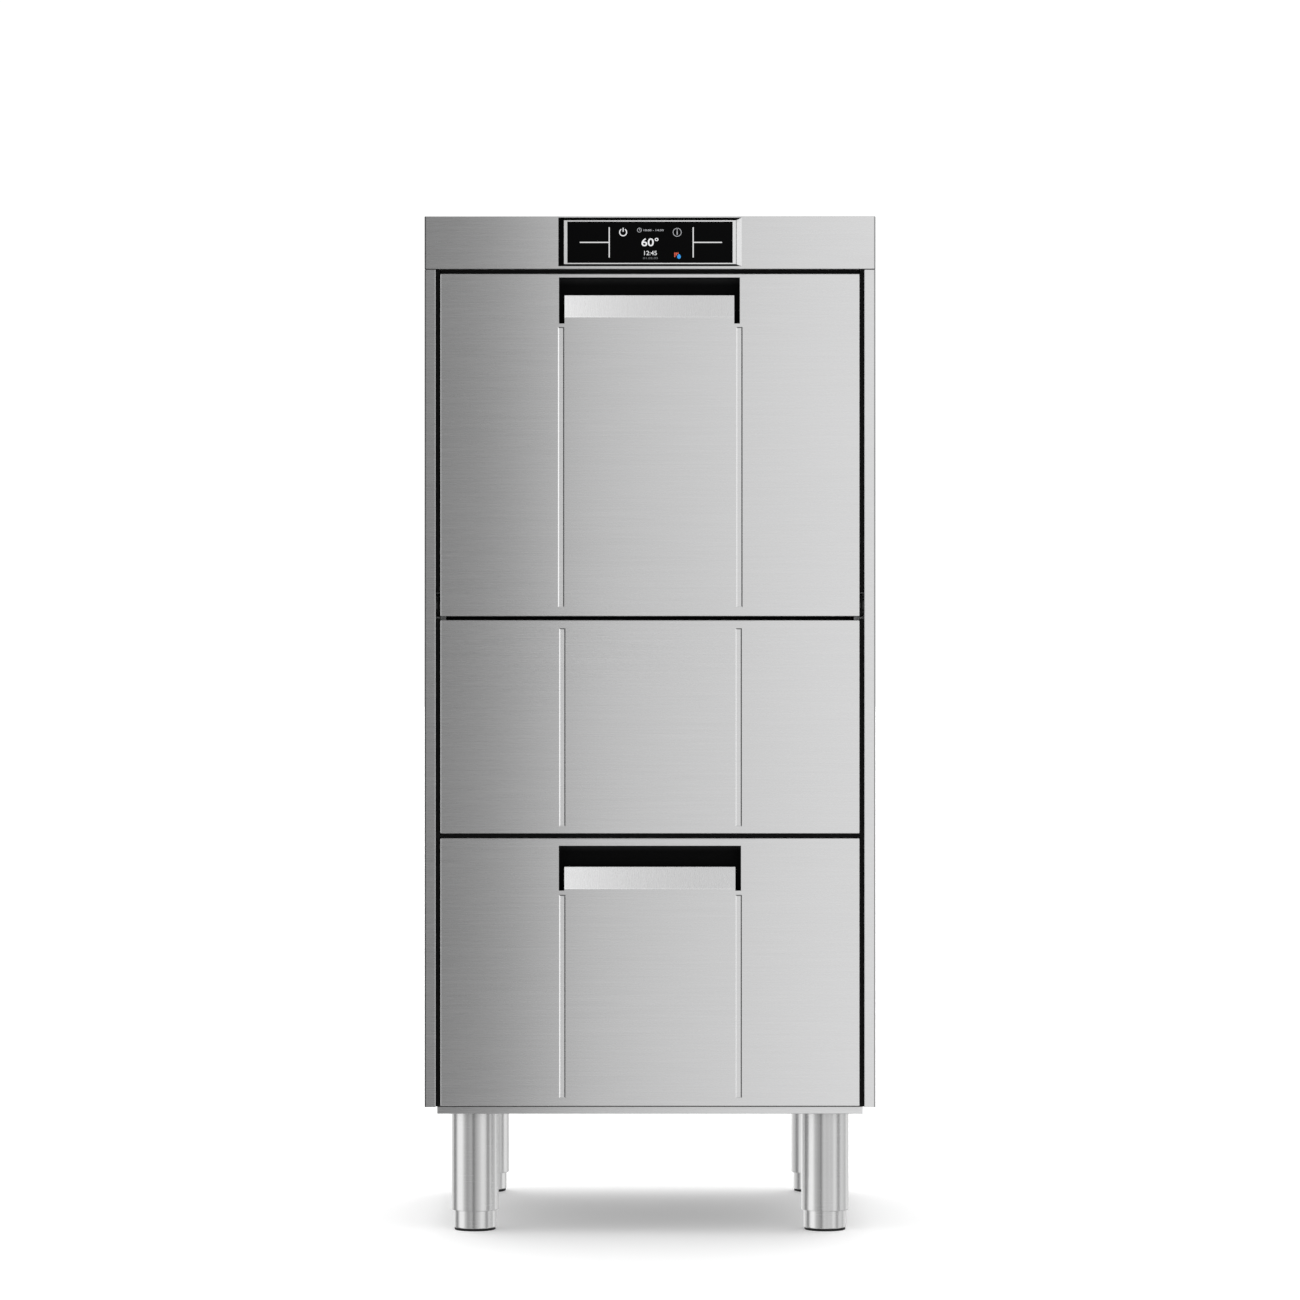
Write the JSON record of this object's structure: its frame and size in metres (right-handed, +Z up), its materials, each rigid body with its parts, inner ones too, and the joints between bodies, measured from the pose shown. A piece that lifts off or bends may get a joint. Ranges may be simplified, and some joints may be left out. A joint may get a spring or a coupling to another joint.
{
  "type": "dishwasher",
  "caption": "Free-standing front-loading steel dishwasher with drop-down door and a base cabinet with pull-out drawer on adjustable round legs.",
  "frame": {"origin": "bottom centre of the overall box, on the floor under the feet", "axes": "+Z up; the door and the drawer face -Y; +X is to the right of someone facing the door"},
  "size_m": [0.6, 0.6, 1.355],
  "materials": {
    "panel_steel": "fine horizontal brushing",
    "inner_steel": "satin sheet steel",
    "leg_steel": "satin turned steel",
    "polished_steel": "polished",
    "black_rubber": "matte",
    "black_plastic": "satin moulded",
    "grey_plastic": "moulded",
    "basket_plastic": "moulded",
    "display_glass": "black glass",
    "bezel": "satin",
    "circuit_board": "printed circuit board",
    "motor_paint": "satin paint",
    "hose_rubber": "matte",
    "brass": "machined",
    "heater_steel": "satin"
  },
  "bodies": {
    "cabinet": {"base_tray": "panel_steel", "leg_sleeves": "leg_steel", "fasteners": "polished_steel", "side_panel_left": "panel_steel", "side_panel_right": "panel_steel", "rear_panel": "inner_steel", "top_cover": "panel_steel", "control_fascia": "panel_steel", "display_bezel": "bezel", "display_glass": "display_glass", "display_module": "circuit_board", "inner_frame": "inner_steel", "machine_deck": "inner_steel", "gap_trims": "black_rubber", "lower_front_panel": "panel_steel", "tub_walls": "inner_steel", "tub_roof": "inner_steel", "tub_sump": "inner_steel", "door_seal": "black_rubber", "rack": "basket_plastic", "tank_filters": "inner_steel", "standpipe": "grey_plastic", "arm_pedestals": "inner_steel", "wash_pump_motor": "motor_paint", "wash_pump_volute": "grey_plastic", "wash_pipes": "hose_rubber", "boiler": "inner_steel", "heating_elements": "heater_steel", "hoses": "hose_rubber", "drain_pump": "grey_plastic", "water_connections": "grey_plastic", "cable_gland": "black_plastic", "dosing_pumps": "grey_plastic", "terminal_box": "grey_plastic", "hinge_pins": "polished_steel", "door_springs": "polished_steel", "drawer_runner_outer": "inner_steel"},
    "door": {"door_outer_panel": "panel_steel", "door_inner_panel": "inner_steel", "door_handle_cup": "black_plastic", "door_hinge_arms": "inner_steel"},
    "drawer": {"drawer_front_panel": "panel_steel", "drawer_front_liner": "inner_steel", "drawer_handle_cup": "black_plastic", "drawer_box": "inner_steel", "drawer_runner_inner": "inner_steel"},
    "runner_middle": {"drawer_runner_middle": "inner_steel"},
    "lower_wash_arm": {"lower_wash_arm": "inner_steel"},
    "lower_rinse_arm": {"lower_rinse_arm": "inner_steel"},
    "upper_wash_arm": {"upper_wash_arm": "inner_steel"},
    "upper_rinse_arm": {"upper_rinse_arm": "inner_steel"},
    "pump_rotor": {"wash_pump_rotor": "grey_plastic"},
    "foot_front_left": {"foot_front_left": "leg_steel", "foot_pad_front_left": "black_rubber"},
    "foot_front_right": {"foot_front_right": "leg_steel", "foot_pad_front_right": "black_rubber"},
    "foot_rear_left": {"foot_rear_left": "leg_steel", "foot_pad_rear_left": "black_rubber"},
    "foot_rear_right": {"foot_rear_right": "leg_steel", "foot_pad_rear_right": "black_rubber"}
  },
  "joints": [
    {"name": "door_hinge", "type": "hinge", "parent": "cabinet", "child": "door", "pos_m": [0, -0.29, 0.8375], "axis": [1, 0, 0], "range_deg": [0, 90], "deforming": ["door_springs"]},
    {"name": "drawer_slide", "type": "slide", "parent": "cabinet", "child": "drawer", "axis": [0, -1, 0], "range_m": [0, 0.45]},
    {"name": "runner_middle_slide", "type": "slide", "parent": "cabinet", "child": "runner_middle", "axis": [0, -1, 0], "range_m": [0, 0.225]},
    {"name": "lower_wash_arm_spin", "type": "hinge", "parent": "cabinet", "child": "lower_wash_arm", "pos_m": [0, 0, 0.885], "axis": [0, 0, 1], "continuous": true},
    {"name": "lower_rinse_arm_spin", "type": "hinge", "parent": "cabinet", "child": "lower_rinse_arm", "pos_m": [0, 0, 0.9], "axis": [0, 0, 1], "continuous": true},
    {"name": "upper_wash_arm_spin", "type": "hinge", "parent": "cabinet", "child": "upper_wash_arm", "pos_m": [0, 0, 1.247], "axis": [0, 0, 1], "continuous": true},
    {"name": "upper_rinse_arm_spin", "type": "hinge", "parent": "cabinet", "child": "upper_rinse_arm", "pos_m": [0, 0, 1.232], "axis": [0, 0, 1], "continuous": true},
    {"name": "pump_rotor_spin", "type": "hinge", "parent": "cabinet", "child": "pump_rotor", "pos_m": [0.06, -0.045, 0.62], "axis": [1, 0, 0], "continuous": true},
    {"name": "foot_front_left_adjust", "type": "slide", "parent": "cabinet", "child": "foot_front_left", "axis": [0, 0, -1], "range_m": [0, 0.03]},
    {"name": "foot_front_right_adjust", "type": "slide", "parent": "cabinet", "child": "foot_front_right", "axis": [0, 0, -1], "range_m": [0, 0.03]},
    {"name": "foot_rear_left_adjust", "type": "slide", "parent": "cabinet", "child": "foot_rear_left", "axis": [0, 0, -1], "range_m": [0, 0.03]},
    {"name": "foot_rear_right_adjust", "type": "slide", "parent": "cabinet", "child": "foot_rear_right", "axis": [0, 0, -1], "range_m": [0, 0.03]}
  ],
  "couplings": [
    {"joint": "runner_middle_slide", "follows": "drawer_slide", "ratio": 0.5}
  ]
}
